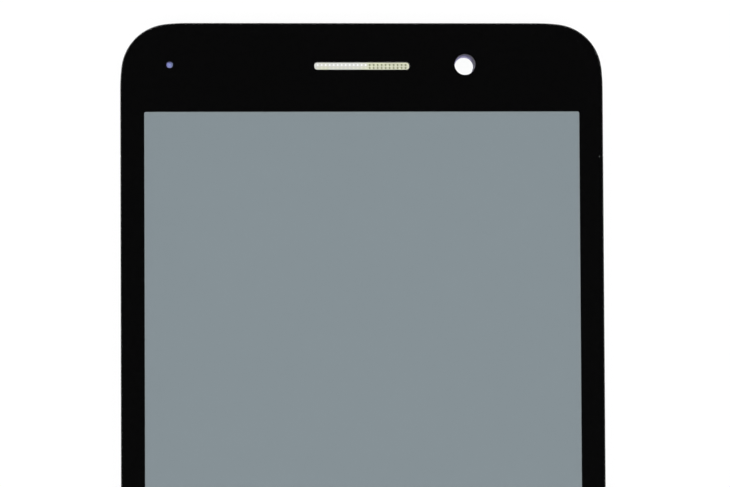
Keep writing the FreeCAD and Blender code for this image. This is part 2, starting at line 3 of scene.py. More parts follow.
import bmesh
import bpy
import numpy as np
from mathutils import Euler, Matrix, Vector


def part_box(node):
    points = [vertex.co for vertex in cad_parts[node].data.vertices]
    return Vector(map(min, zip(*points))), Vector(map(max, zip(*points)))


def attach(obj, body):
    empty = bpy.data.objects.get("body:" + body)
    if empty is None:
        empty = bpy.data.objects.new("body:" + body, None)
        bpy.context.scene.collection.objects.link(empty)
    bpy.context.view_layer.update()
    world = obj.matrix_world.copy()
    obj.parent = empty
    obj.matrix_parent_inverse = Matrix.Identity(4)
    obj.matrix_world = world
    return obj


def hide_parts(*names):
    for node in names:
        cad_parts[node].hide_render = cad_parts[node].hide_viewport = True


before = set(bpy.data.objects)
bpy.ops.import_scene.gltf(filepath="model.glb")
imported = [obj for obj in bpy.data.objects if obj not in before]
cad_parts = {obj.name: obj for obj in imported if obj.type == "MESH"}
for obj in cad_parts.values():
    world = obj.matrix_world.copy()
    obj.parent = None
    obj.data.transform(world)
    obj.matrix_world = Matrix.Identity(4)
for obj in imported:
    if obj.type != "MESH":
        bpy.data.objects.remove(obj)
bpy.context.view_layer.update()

# Looks of a phone display assembly that lies on its back under soft studio light.
# Places and sizes below are in millimetres in the frame's axes, and MM turns them into metres.
MM = 0.001

# Camera, found from the outline of the glass: straight above, near the middle of the upper half
CAMERA_PLACE = (-12.734, 30.729, 303.02)
CAMERA_TILT = (1.38432, -2.47841, -0.28063)
LENS = 103.56
SENSOR = 36.0

# Nearest and farthest distance that the camera sees
CLIP = (10.0, 20000.0)

# Light and background
FLOOR_DROP = 0.02
FLOOR_SIDE = 4000.0
FLOOR_COLOR = (0.10, 0.10, 0.10)
FLOOR_GLOW = 0.92
FLOOR_GLOW_THROUGH_GLASS = 1.04
LAMP_COUNT = 4
LAMP_DISTANCE = 800.0
LAMP_SIDE = 520.0
LAMP_ELEVATION = 50.0
LAMP_AZIMUTH = 45.0
LAMP_WATTS = 1.9

# Brightness of the studio all round, at stops of the sine of the elevation
SKY_STOPS = (
    (0.0, 1.0), (0.10, 1.0), (0.26, 0.42), (0.45, 0.22), (0.72, 0.09), (0.90, 0.03), (1.0, 0.03),
)

# Window in the print over the light pin
INDICATOR_WINDOW = 0.95

# Painted light: a paler rim of the picture area, from the edge of the polarizer inwards
PAINTED_RIM_REACH = 0.55
PAINTED_RIM_FADE = 0.12

# Earpiece mesh: how far past its middle the white turns olive, and how far each change of tone fades
MESH_SPLIT = 0.86
SPLIT_FADE = (0.5, 0.3)
# Painted shade: how far the darkening towards the mesh's lower edge fades
LOWER_PAINTED_SHADE_FADE = (0.5, 0.2)
FELT_FADE = 0.1

# Yellower stretches of its white part: one measured from its left end, one measured back from the olive.
# Patches all over it are yellower by a share.
YELLOW_TINT_FROM_END = (1.9, 4.2)
YELLOW_TINT_FADE = 0.9
YELLOW_TINT_BEFORE_SPLIT = (1.7, 0.5)
PATCH_SHARE = 0.25

# Painted grey shading on the right side of the camera ring's bore, from its middle
PAINTED_GREY_SIDE = (0.7, 1.4)

# Yellow face of the side lamps, from their front
LAMP_FACE = (0.05, 0.02)

# Hair-thin laps and gaps that keep one surface in front of its neighbour
LAP = 0.004

# Points of a copied node that lie closer than this are one point
WELD = 0.0001

# How far from the pole the last ring of a dome lies, in radians
DOME_POLE = 0.08

# Blocks soldered on the flexes: each tinned cap takes a share of the length and steps down to a thinner body
CAP_SHARE = 0.24
CAP_STEP = 0.02
BODY_SHRINK = 0.012
BLOCK_ROUND = 0.05

# Rounded end of a block: way in from the end and inset, both as shares of BLOCK_ROUND
BLOCK_END = ((0.0, 0.6), (0.3, 0.15), (1.0, 0.0))

# Solder beside a block: it laps the block, and its rise, width and taper are shares of the block's size
SOLDER_REACH = 0.20
SOLDER_STEPS = 5
SOLDER_LAP = 0.02
SOLDER_RISE = 0.62
SOLDER_THIN = 0.012
SOLDER_WIDTH = 0.96
SOLDER_TAPER = 0.12

# Silver tracks on the underside of the touch film, with insets from its side, upper and lower edge
TRACK_COUNT = 8
TRACK_WIDTH = 0.07
TRACK_PITCH = 0.15
TRACK_HEIGHT = 0.012
TRACK_EDGE = 0.18
TRACK_TOP = 4.0
TRACK_FOOT = 0.25
TRACK_CORNER = 0.5

# The same tracks where they turn into the touch flex, from its middle
NECK_HALF = 0.5
NECK_PITCH = 0.3
NECK_CORNER = 0.3
NECK_TAIL = 0.2

# Copper under the cover film of the flexes
COPPER_PITCH = 0.42
COPPER_SOFT = 0.03
HATCH_PITCH = 0.90
HATCH_SHARE = 0.55
HATCH_SOFT = 0.04
HATCH_MARGIN = 0.60
HATCH_FADE = 0.08
BOARD_LENGTH = 22.0
BOARD_START = 3.2

# Solder between the lamp flex and the ear of the display flex
EAR_PADS = 3
EAR_PAD_PITCH = 1.25
EAR_PAD_SIZE = (0.62, 1.30, 0.09)
EAR_PADS_FROM_SIDE = 2.8
EAR_PADS_FROM_TOP = 1.6

# Dark lining of the earpiece slot's wall, coloured as painted shade
SLOT_CORNER = 0.42
SLOT_MOUTH = 0.06

# Flake at the right side of the glass
FLAKE_PLACE = (33.97, 50.32)
FLAKE_SIZE = (0.063, 0.052, 0.012)
FLAKE_DEPTH = 0.03


def box(node):
    """Lowest and highest corner of a CAD node, in millimetres."""
    low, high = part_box(node)
    return np.array(low) / MM, np.array(high) / MM


class Finish:
    """A material in the making: each method adds a node and gives its output."""

    def __init__(self, name, color=(0.5, 0.5, 0.5), roughness=0.5, metallic=0.0, specular=0.5):
        self.material = bpy.data.materials.new(name)
        self.material.use_nodes = True
        self.nodes = self.material.node_tree.nodes
        self.links = self.material.node_tree.links
        self.shader = self.nodes["Principled BSDF"]
        self.where = None
        self.set("Base Color", color)
        self.set("Roughness", roughness)
        self.set("Metallic", metallic)
        self.set("Specular IOR Level", specular)

    def feed(self, socket, value):
        """Links an output to the socket, or sets the socket to a number or colour."""
        if isinstance(value, bpy.types.NodeSocket):
            self.links.new(value, socket)
        elif isinstance(value, tuple) and socket.type == "RGBA":
            socket.default_value = (*value, 1.0)
        else:
            socket.default_value = value

    def set(self, name, value):
        """Sets or links one input of the shader."""
        self.feed(self.shader.inputs[name], value)

    def add(self, kind, inputs, **settings):
        """One node with its settings and inputs."""
        node = self.nodes.new("ShaderNode" + kind)
        for name, value in settings.items():
            setattr(node, name, value)
        for key, value in inputs.items():
            self.feed(node.inputs[key], value)
        return node

    def place(self):
        """Place on the object, in millimetres."""
        if self.where is None:
            object_place = self.add("TexCoord", {}).outputs["Object"]
            inputs = {0: object_place, "Scale": 1 / MM}
            self.where = self.add("VectorMath", inputs, operation="SCALE").outputs[0]
        return self.where

    def axis(self, index):
        """One coordinate of the place: 0 for X, 1 for Y, 2 for Z."""
        return self.add("SeparateXYZ", {0: self.place()}).outputs[index]

    def math(self, operation, first, second=0.0):
        """Arithmetic on two values."""
        return self.add("Math", {0: first, 1: second}, operation=operation).outputs[0]

    def noise(self, cell, detail=2.0, rough=0.5):
        """Cloudy noise from 0 to 1, with its cell size along X, Y and Z."""
        share = tuple(1 / size for size in cell)
        vector = self.add("VectorMath", {0: self.place(), 1: share}, operation="MULTIPLY").outputs[0]
        inputs = {"Vector": vector, "Scale": 1.0, "Detail": detail, "Roughness": rough}
        return self.add("TexNoise", inputs).outputs["Fac"]

    def spread(self, value, start, end, low=0.0, high=1.0):
        """The value's stretch from start to end, laid smoothly over low to high."""
        inputs = {0: value, 1: start, 2: end, 3: low, 4: high}
        return self.add("MapRange", inputs, interpolation_type="SMOOTHSTEP").outputs[0]

    def mix(self, share, first, second):
        """Colour between the first and the second by a share."""
        return self.add("Mix", {0: share, 6: first, 7: second}, data_type="RGBA").outputs[2]

    def stripes(self, value, pitch, share, soft):
        """Even stripes along a coordinate: 1 on a share of each pitch."""
        phase = self.math("PINGPONG", value, pitch / 2)
        edge = share * pitch / 2
        return self.spread(phase, edge - soft, edge + soft, 1.0, 0.0)

    def mottle(self, cell, first, second):
        """Base colour that wanders between two shades."""
        self.set("Base Color", self.mix(self.spread(self.noise(cell), 0.35, 0.65), first, second))
        return self

    def vary(self, name, cell, low, high):
        """Lets one input wander between two values."""
        self.set(name, self.spread(self.noise(cell), 0.3, 0.7, low, high))
        return self

    def bump(self, height, depth):
        """Relief of the given depth from a height of 0 to 1."""
        inputs = {"Height": height, "Distance": depth * MM, "Strength": 1.0}
        self.set("Normal", self.add("Bump", inputs).outputs[0])
        return self


def clear(name, index, tint):
    """Clear solid stuff: all light passes, bent by its index and tinted a little."""
    finish = Finish(name, tint, roughness=0.0)
    finish.set("Transmission Weight", 1.0)
    finish.set("IOR", index)
    return finish.material


def black_print():
    """Dense black screen print, with the faint tooth of the screen."""
    finish = Finish("black_print", roughness=0.45, specular=0.05)
    finish.mottle((0.6, 0.6, 0.6), (0.0008, 0.0008, 0.0009), (0.0013, 0.0013, 0.0014))
    return finish.bump(finish.noise((0.05, 0.05, 0.05)), 0.002).material


def polarizer_film():
    """Blue-grey film: even over the picture, with a rim of painted light a little paler where the border's
    edge lets light in.
    """
    low, high = box("front_polarizer")
    finish = Finish("polarizer", roughness=0.55, specular=0.25)
    sides = finish.math("SUBTRACT", finish.math("ABSOLUTE", finish.axis(0)), float(high[0]))
    top = finish.math("SUBTRACT", finish.axis(1), float(high[1]))
    bottom = finish.math("SUBTRACT", float(low[1]), finish.axis(1))
    edge = finish.math("MAXIMUM", sides, finish.math("MAXIMUM", top, bottom))
    # painted light: paler band along the edge of the picture
    rim = finish.spread(edge, -PAINTED_RIM_REACH, -PAINTED_RIM_REACH + PAINTED_RIM_FADE)
    body = finish.mix(finish.noise((14.0, 14.0, 14.0)), (0.304, 0.349, 0.386), (0.309, 0.354, 0.391))
    finish.set("Base Color", finish.mix(rim, body, (0.315, 0.354, 0.388)))
    return finish.bump(finish.noise((0.04, 0.04, 0.04)), 0.0006).material


def rear_film():
    """Inner polarizer, the same film with a duller face."""
    finish = Finish("rear_polarizer", roughness=0.4)
    return finish.mottle((3.0, 3.0, 3.0), (0.16, 0.18, 0.19), (0.18, 0.20, 0.21)).material


def cut_glass():
    """Thin sheet of the liquid crystal cell: dark between its films, with scribed and snapped edges."""
    finish = Finish("cell_glass", roughness=0.12, specular=0.6)
    finish.mottle((1.2, 1.2, 0.06), (0.055, 0.085, 0.075), (0.11, 0.15, 0.135))
    return finish.bump(finish.noise((0.25, 0.25, 0.03)), 0.006).material


def silicon():
    """Bare ground silicon."""
    finish = Finish("bare_silicon", roughness=0.25, metallic=0.6)
    return finish.mottle((0.2, 2.0, 0.2), (0.09, 0.09, 0.11), (0.13, 0.13, 0.155)).material


def black_tape():
    """Matt black polyester tape."""
    finish = Finish("black_tape", specular=0.35)
    finish.mottle((0.5, 0.5, 0.5), (0.010, 0.010, 0.011), (0.018, 0.018, 0.019))
    finish.vary("Roughness", (0.8, 0.8, 0.8), 0.5, 0.68)
    return finish.bump(finish.noise((0.09, 0.09, 0.09), 3.0), 0.006).material


def foam(name, dark, pale, cell):
    """Fine closed-cell foam with small pores."""
    finish = Finish(name, roughness=0.85, specular=0.2)
    pores = finish.noise((cell, cell, cell), 3.0, 0.65)
    finish.set("Base Color", finish.mix(finish.spread(pores, 0.32, 0.62), dark, pale))
    return finish.bump(pores, cell * 0.35).material


def prism_film():
    """Silvery light film with fine prism ridges along X."""
    finish = Finish("light_film", roughness=0.28, metallic=0.25)
    ridges = finish.stripes(finish.axis(1), 0.10, 0.5, 0.02)
    finish.set("Base Color", finish.mix(ridges, (0.80, 0.82, 0.84), (0.88, 0.90, 0.92)))
    return finish.bump(ridges, 0.004).material


def milky_film(name, shade):
    """White diffusing or reflecting film with a soft sheen."""
    finish = Finish(name, roughness=0.5)
    pale = tuple(value * 0.96 for value in shade)
    return finish.mottle((2.0, 2.0, 2.0), pale, shade).material


def white_moulding():
    """White filled plastic, slightly glossy, with the mould's fine texture."""
    finish = Finish("white_moulding", specular=0.45)
    finish.mottle((2.5, 2.5, 0.4), (0.77, 0.775, 0.76), (0.83, 0.835, 0.82))
    finish.vary("Roughness", (1.5, 1.5, 1.5), 0.38, 0.52)
    return finish.bump(finish.noise((0.08, 0.08, 0.08)), 0.003).material


def tray_steel():
    """Cold-rolled stainless sheet: fine grain along Y, soft clouds and a few hairline scratches."""
    finish = Finish("tray_steel", metallic=1.0)
    grain = finish.noise((0.05, 4.0, 0.05), 3.0, 0.6)
    clouds = finish.noise((9.0, 16.0, 9.0), 2.0)
    scratch = finish.spread(finish.noise((0.30, 12.0, 0.30), 1.0), 0.72, 0.80, 0.0, 0.5)
    tone = finish.mix(finish.spread(grain, 0.3, 0.7), (0.50, 0.50, 0.49), (0.64, 0.64, 0.625))
    tone = finish.mix(finish.spread(clouds, 0.35, 0.75, 0.0, 0.35), tone, (0.70, 0.70, 0.685))
    finish.set("Base Color", finish.mix(scratch, tone, (0.78, 0.78, 0.77)))
    finish.set("Roughness", finish.spread(grain, 0.25, 0.75, 0.26, 0.42))
    return finish.bump(grain, 0.0015).material


def display_board():
    """Lowest and highest X and Y of the ground plane on the display flex, in millimetres."""
    low, high = box("display_flex_tape")
    foot = float(box("backlight_tray")[0][1])
    return (float(low[0]), float(high[0])), (foot + BOARD_START, foot + BOARD_LENGTH - HATCH_MARGIN)


def amber_flex(name, share, ground=None):
    """Amber cover film over copper: tracks along Y are paler and slightly raised, the ground is hatched.

    The hatch is two sets of stripes, along X + Y and X - Y. The share of ground is 1 inside its box.
    """
    finish = Finish(name, roughness=0.32, specular=0.55)
    tracks = finish.stripes(finish.axis(0), COPPER_PITCH, share, COPPER_SOFT)
    if ground:
        slants = [finish.math(way, finish.axis(0), finish.axis(1)) for way in ("ADD", "SUBTRACT")]
        sets = [finish.stripes(slant, HATCH_PITCH, HATCH_SHARE, HATCH_SOFT) for slant in slants]
        hatch = finish.math("MAXIMUM", *sets)
        inside = 1.0
        for index, (start, end) in enumerate(ground):
            for side, inner in ((start, start + HATCH_FADE), (end, end - HATCH_FADE)):
                inside = finish.math("MULTIPLY", inside, finish.spread(finish.axis(index), side, inner))
        change = finish.math("MULTIPLY", inside, finish.math("SUBTRACT", hatch, tracks))
        tracks = finish.math("ADD", tracks, change)
    clouds = finish.spread(finish.noise((3.0, 5.0, 3.0)), 0.3, 0.7)
    gaps = finish.mix(clouds, (0.235, 0.088, 0.012), (0.290, 0.115, 0.016))
    copper = finish.mix(clouds, (0.400, 0.175, 0.032), (0.470, 0.215, 0.042))
    finish.set("Base Color", finish.mix(tracks, gaps, copper))
    finish.vary("Roughness", (1.0, 2.0, 1.0), 0.26, 0.40)
    return finish.bump(tracks, 0.008).material


def lamp_housing():
    """White lamp bodies with a yellow face towards the light guide."""
    front = float(box("leds")[1][1])
    finish = Finish("lamp_housing", roughness=0.45)
    face = finish.spread(finish.axis(1), front - LAMP_FACE[0], front - LAMP_FACE[1])
    finish.set("Base Color", finish.mix(face, (0.78, 0.78, 0.76), (0.80, 0.62, 0.10)))
    return finish.bump(finish.noise((0.1, 0.1, 0.1)), 0.003).material


def stiffener():
    """Thin stamped steel plate, with fine grain along X."""
    finish = Finish("stiffener", metallic=1.0)
    grain = finish.noise((2.5, 0.04, 0.04), 3.0, 0.6)
    shade = finish.spread(grain, 0.3, 0.7)
    finish.set("Base Color", finish.mix(shade, (0.44, 0.44, 0.43), (0.57, 0.57, 0.56)))
    finish.set("Roughness", finish.spread(grain, 0.25, 0.75, 0.28, 0.42))
    return finish.bump(grain, 0.0015).material


def connector_moulding():
    """Black liquid crystal polymer with faint flow marks."""
    finish = Finish("connector_moulding", roughness=0.42)
    finish.mottle((0.6, 0.12, 0.12), (0.014, 0.014, 0.015), (0.028, 0.028, 0.029))
    return finish.bump(finish.noise((0.05, 0.05, 0.05)), 0.002).material


def gold():
    """Gold-plated contact."""
    finish = Finish("gold_contact", metallic=1.0)
    finish.mottle((0.3, 0.3, 0.3), (0.83, 0.58, 0.23), (0.92, 0.68, 0.30))
    return finish.vary("Roughness", (0.2, 0.2, 0.2), 0.16, 0.30).material


def chip_package():
    """Black moulded epoxy with a fine matt texture."""
    finish = Finish("chip_package", specular=0.4)
    finish.mottle((0.3, 0.3, 0.3), (0.016, 0.016, 0.017), (0.026, 0.026, 0.027))
    finish.vary("Roughness", (0.6, 0.6, 0.6), 0.5, 0.62)
    return finish.bump(finish.noise((0.06, 0.06, 0.06), 3.0), 0.004).material


def ceramic():
    """Tan fired ceramic."""
    finish = Finish("ceramic_part", roughness=0.5)
    finish.mottle((0.15, 0.15, 0.15), (0.27, 0.175, 0.105), (0.36, 0.245, 0.155))
    return finish.bump(finish.noise((0.04, 0.04, 0.04)), 0.002).material


def tin():
    """Bright tin and solder."""
    finish = Finish("tin", metallic=1.0)
    finish.mottle((0.12, 0.12, 0.12), (0.62, 0.62, 0.61), (0.74, 0.74, 0.73))
    return finish.vary("Roughness", (0.15, 0.15, 0.15), 0.20, 0.38).material


def silver_paste():
    """Printed silver tracks."""
    finish = Finish("silver_paste", roughness=0.45, metallic=0.8)
    return finish.mottle((0.2, 0.2, 0.2), (0.50, 0.50, 0.49), (0.62, 0.62, 0.61)).material


def mesh_split():
    """Where the pale left of the mesh turns into the olive right: a column and a half past its middle."""
    low, high = box("earpiece_mesh")
    return float(low[0] + high[0]) / 2 + MESH_SPLIT


def mesh_sheet():
    """Pale etched sheet, nearly white at left and olive at right, with painted shade darker towards its
    lower edge.

    The white part is yellower in two places: a little inside its left end, and where it meets the olive.
    """
    low, high = box("earpiece_mesh")
    middle = float(low[1] + high[1]) / 2
    finish = Finish("mesh_metal", roughness=0.45, specular=0.4)
    split = mesh_split()
    right = finish.spread(finish.axis(0), split - SPLIT_FADE[0], split + SPLIT_FADE[1])
    # painted shade: share of the darker tones towards the sheet's lower edge
    lower = finish.spread(finish.axis(1), middle - LOWER_PAINTED_SHADE_FADE[0], middle + LOWER_PAINTED_SHADE_FADE[1], 1.0, 0.0)
    patches = finish.spread(finish.noise((1.3, 0.5, 1.0)), 0.42, 0.62)
    rise, fall = (float(low[0]) + inset for inset in YELLOW_TINT_FROM_END)
    end = finish.math("MULTIPLY", finish.spread(finish.axis(0), rise, rise + YELLOW_TINT_FADE),
                      finish.spread(finish.axis(0), fall - YELLOW_TINT_FADE, fall, 1.0, 0.0))
    start, full = (split - before for before in YELLOW_TINT_BEFORE_SPLIT)
    yellow_tint = finish.math("MAXIMUM", end, finish.spread(finish.axis(0), start, full))
    yellow_tint = finish.math("MAXIMUM", yellow_tint, finish.math("MULTIPLY", patches, PATCH_SHARE))
    pale = finish.mix(yellow_tint, (0.77, 0.78, 0.745), (0.77, 0.78, 0.69))
    olive = finish.mix(patches, (0.69, 0.70, 0.55), (0.78, 0.80, 0.60))
    # painted shade: darker tones of the sheet's lower part
    shade = finish.mix(yellow_tint, (0.675, 0.685, 0.640), (0.68, 0.70, 0.53))
    left = finish.mix(lower, pale, shade)
    finish.set("Base Color", finish.mix(right, left, olive))
    return finish.bump(finish.noise((0.05, 0.05, 0.05)), 0.003).material


def felt():
    """Dust felt: cream at left, dark olive at right, with a short tangled nap."""
    finish = Finish("dust_felt", roughness=0.95, specular=0.1)
    right = finish.spread(finish.axis(0), mesh_split() - FELT_FADE, mesh_split() + FELT_FADE)
    nap = finish.noise((0.05, 0.05, 0.05), 4.0, 0.7)
    cream = finish.mix(nap, (0.72, 0.72, 0.60), (0.92, 0.92, 0.80))
    olive = finish.mix(nap, (0.23, 0.255, 0.14), (0.38, 0.41, 0.25))
    finish.set("Base Color", finish.mix(right, cream, olive))
    return finish.bump(nap, 0.03).material


def camera_ring():
    """Soft lilac rubber ring with painted light and shade in its bore: painted shade dark at the glass,
    painted light pale lilac towards the camera, and painted grey shading at right.
    """
    low, high = box("camera_gasket")
    middle = float(low[0] + high[0]) / 2
    finish = Finish("lilac_rubber", specular=0.35)
    depth = finish.spread(finish.axis(2), float(high[2]), float(low[2]))
    patches = finish.spread(finish.noise((0.6, 0.6, 0.6)), 0.35, 0.65)
    # painted shade: dark rubber where the bore meets the glass
    rim = finish.mix(patches, (0.080, 0.073, 0.100), (0.105, 0.096, 0.130))
    wall = finish.mix(patches, (0.185, 0.168, 0.330), (0.225, 0.205, 0.390))
    # painted light: pale lilac deep in the bore, towards the camera
    pale = finish.mix(patches, (0.640, 0.590, 0.940), (0.700, 0.650, 0.980))
    # painted grey shading for the right side of the bore
    grey = finish.mix(patches, (0.125, 0.122, 0.140), (0.155, 0.152, 0.172))
    tone = finish.mix(finish.spread(depth, 0.10, 0.40), rim, wall)
    tone = finish.mix(finish.spread(depth, 0.52, 0.95), tone, pale)
    beside = finish.spread(finish.axis(0), middle + PAINTED_GREY_SIDE[0], middle + PAINTED_GREY_SIDE[1], 0.0, 0.85)
    finish.set("Base Color", finish.mix(beside, tone, grey))
    finish.vary("Roughness", (0.4, 0.4, 0.4), 0.5, 0.65)
    return finish.bump(finish.noise((0.07, 0.07, 0.07)), 0.003).material


def light_pin():
    """Milky lilac acrylic, its look through the window painted as light and shadow: bluest and brightest at
    lower left, pink at its left edge, grey at right, and a painted shadow at its top.
    """
    low, high = box("indicator_light_guide")
    x, y = (low[:2] + high[:2]) / 2
    reach = INDICATOR_WINDOW / 2
    finish = Finish("lilac_acrylic", roughness=0.2)
    right = finish.spread(finish.axis(0), float(x - 0.1 * reach), float(x + 1.1 * reach))
    left = finish.spread(finish.axis(0), float(x - 1.1 * reach), float(x - 0.35 * reach), 0.9, 0.0)
    foot = finish.spread(finish.axis(1), float(y - reach), float(y - 0.3 * reach), 0.9, 0.0)
    # painted shadow of the print's edge over the top of the pin
    top = finish.spread(finish.axis(1), float(y + 0.15 * reach), float(y + 1.0 * reach))
    # painted light: brightest blue at lower left, fading to a dim grey at right
    tone = finish.mix(right, (0.285, 0.318, 0.700), (0.130, 0.160, 0.245))
    tone = finish.mix(left, tone, (0.130, 0.110, 0.260))
    tone = finish.mix(foot, tone, (0.220, 0.235, 0.410))
    finish.set("Base Color", finish.mix(top, tone, (0.045, 0.045, 0.075)))
    return finish.bump(finish.noise((0.3, 0.3, 0.3)), 0.004).material


def slot_lining_painted_shade():
    """Ground wall of the slot, coloured dark as a painted shade."""
    finish = Finish("slot_lining_painted_shade", roughness=0.6, specular=0.3)
    # painted shade: dark tones standing in for the shade along the slot's top edge
    finish.mottle((0.15, 0.15, 0.15), (0.030, 0.029, 0.032), (0.050, 0.048, 0.052))
    return finish.bump(finish.noise((0.03, 0.03, 0.03)), 0.004).material


def flake():
    """Crushed glass in a small chip."""
    finish = Finish("glass_flake", roughness=0.5)
    return finish.mottle((0.04, 0.04, 0.04), (0.60, 0.60, 0.60), (0.80, 0.80, 0.79)).material


def loft(rings, kinds=0, closed=False):
    """Closed skin through rings of points: ring i, point j joins ring i + 1 and point j + 1 by a quad.

    rings has the shape (rings, points, 3). The end rings are closed by one flat face each, or the last ring
    joins the first. kinds gives the material of each stretch between two rings, and of both ends.
    """
    rings = np.asarray(rings, float)
    count, around = rings.shape[:2]
    i, j = np.meshgrid(np.arange(count if closed else count - 1), np.arange(around), indexing="ij")
    beside, beyond = (j + 1) % around, (i + 1) % count
    here, next_ring = i * around, beyond * around
    quads = np.stack([here + j, here + beside, next_ring + beside, next_ring + j], -1)
    faces = quads.reshape(-1, 4).tolist()
    if closed:
        return rings.reshape(-1, 3), faces, np.full(len(faces), kinds)
    stretch = np.broadcast_to(kinds, count + 1)
    faces += [list(range(around)), list(range((count - 1) * around, count * around))]
    marks = np.concatenate([np.repeat(stretch[1:-1], around), stretch[:1], stretch[-1:]])
    return rings.reshape(-1, 3), faces, marks


def rounded_ring(half_width, half_height, radius, steps=3):
    """Points of a rounded rectangle: each corner is its centre plus the radius times (cosine, sine)."""
    turn = np.linspace(0, math.pi / 2, steps)[None, :] + np.arange(4)[:, None] * math.pi / 2
    corner = np.array([(1, 1), (-1, 1), (-1, -1), (1, -1)])[:, None, :]
    centre = corner * (np.array([half_width, half_height]) - radius)
    return (centre + radius * np.stack([np.cos(turn), np.sin(turn)], -1)).reshape(-1, 2)


def ribbon(points, width, low, high):
    """Flat strip along a bent line: each point moves half the width along the mean of its two normals."""
    points = np.asarray(points, float)
    run = np.diff(points, axis=0)
    normal = np.stack([-run[:, 1], run[:, 0]], -1) / np.linalg.norm(run, axis=1)[:, None]
    before = np.vstack([normal[:1], normal])
    after = np.vstack([normal, normal[-1:]])
    mitre = (before + after) / (1 + (before * after).sum(1))[:, None] * width / 2
    left, right = points + mitre, points - mitre
    level = np.ones(len(points))
    rings = np.stack([
        np.column_stack([left, level * low]), np.column_stack([right, level * low]),
        np.column_stack([right, level * high]), np.column_stack([left, level * high]),
    ], 1)
    return loft(rings)


def dome(x, y, z, size, steps=9, around=20):
    """Flattened cap that hangs below z: radius by the sine of the way from the pole, drop by its cosine."""
    way = np.linspace(math.pi / 2, DOME_POLE, steps)[:, None]
    turn = np.linspace(0, 2 * math.pi, around, endpoint=False)[None, :]
    return loft(np.stack([
        x + size[0] * np.sin(way) * np.cos(turn),
        y + size[1] * np.sin(way) * np.sin(turn),
        z - size[2] * np.cos(way) + 0 * turn,
    ], -1))


def piece(name, solids, materials, stands_for=(), smooth=35.0):
    """One object of the root body, made of closed skins, with its faces turned outwards."""
    points, faces, marks = [], [], []
    for solid_points, solid_faces, solid_marks in solids:
        start = sum(len(p) for p in points)
        points.append(solid_points)
        faces += [[start + k for k in face] for face in solid_faces]
        marks.append(solid_marks)
    mesh = bpy.data.meshes.new(name)
    mesh.from_pydata((np.concatenate(points) * MM).tolist(), [], faces)
    mesh.polygons.foreach_set("material_index", np.concatenate(marks).astype(np.int32))
    return finished(name, mesh, materials, stands_for, smooth)


def finished(name, mesh, materials, stands_for, smooth):
    """Turns the faces outwards, sets the shading and ties the piece to the frame."""
    tidy = bmesh.new()
    tidy.from_mesh(mesh)
    bmesh.ops.recalc_face_normals(tidy, faces=tidy.faces)
    tidy.to_mesh(mesh)
    tidy.free()
    copied_normals = mesh.attributes.get("custom_normal")
    if copied_normals:
        mesh.attributes.remove(copied_normals)
    mesh.polygons.foreach_set("use_smooth", np.ones(len(mesh.polygons), bool))
    mesh.set_sharp_from_angle(angle=math.radians(smooth))
    for material in materials:
        mesh.materials.append(material)
    made = bpy.data.objects.new(name, mesh)
    bpy.context.scene.collection.objects.link(made)
    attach(made, "root")
    if stands_for:
        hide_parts(*stands_for)
    return made


def merged(node):
    """Copy of a CAD node's mesh as a welded bmesh."""
    welded = bmesh.new()
    welded.from_mesh(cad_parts[node].data)
    bmesh.ops.remove_doubles(welded, verts=welded.verts, dist=WELD * MM)
    return welded


def shifted(node, name, levels, material):
    """Copy of a node whose heights are read off straight lines through pairs of (old, new) levels."""
    welded = merged(node)
    mesh = bpy.data.meshes.new(name)
    welded.to_mesh(mesh)
    welded.free()
    points = np.empty(len(mesh.vertices) * 3)
    mesh.vertices.foreach_get("co", points)
    points = points.reshape(-1, 3)
    old, new = np.array(sorted(levels)).T
    points[:, 2] = np.interp(points[:, 2], old * MM, new * MM)
    mesh.vertices.foreach_set("co", points.ravel())
    return finished(name, mesh, [material], [node], 30.0)


def solid_boxes(node):
    """Lowest and highest corner of each separate solid in a node, in millimetres."""
    welded = merged(node)
    left = set(welded.verts)
    boxes = []
    while left:
        group, queue = [], [left.pop()]
        while queue:
            vertex = queue.pop()
            group.append(tuple(vertex.co))
            fresh = {edge.other_vert(vertex) for edge in vertex.link_edges} & left
            left -= fresh
            queue += fresh
        corners = np.array(group) / MM
        boxes.append((corners.min(0), corners.max(0)))
    welded.free()
    return sorted(boxes, key=lambda pair: tuple(pair[0]))


def across(ring, x, y, z):
    """Ring of flat points stood up across X: its two coordinates are added to y and z."""
    return np.column_stack([np.full(len(ring), x), y + ring[:, 0], z + ring[:, 1]])


def capacitor(low, high):
    """Ceramic block with a tinned cap on each end: rounded rectangles at stations along its length.

    The stations of the left half, as places on X and insets, are mirrored for the right half. The stretch
    between the two halves is the ceramic body, and all others are tin.
    """
    middle, half = (low + high) / 2, (high - low) / 2
    cap = 2 * half[0] * CAP_SHARE
    left = [(-half[0] + way * BLOCK_ROUND, inset * BLOCK_ROUND) for way, inset in BLOCK_END]
    left += [(-half[0] + cap - CAP_STEP, 0.0), (-half[0] + cap, BODY_SHRINK)]
    stations = left + [(-x, inset) for x, inset in reversed(left)]
    rings = []
    for x, inset in stations:
        ring = rounded_ring(half[1] - inset, half[2] - inset, BLOCK_ROUND)
        rings.append(across(ring, middle[0] + x, middle[1], middle[2]))
    tinned = [1] * len(left)
    return loft(rings, tinned + [0] + tinned)


def solder(low, high, side):
    """Solder at one end of a block: its height falls with the square of the way out along the board."""
    middle, half = (low + high) / 2, (high - low) / 2
    rings = []
    for way in np.linspace(0, 1, SOLDER_STEPS):
        height = max(SOLDER_RISE * 2 * half[2] * (1 - way) ** 2, SOLDER_THIN) / 2
        width = half[1] * (SOLDER_WIDTH - SOLDER_TAPER * way)
        x = middle[0] + side * (half[0] - SOLDER_LAP + SOLDER_REACH * way)
        rings.append(across(rounded_ring(width, height, height / 2), x, middle[1], high[2] - height))
    return loft(rings, 1)


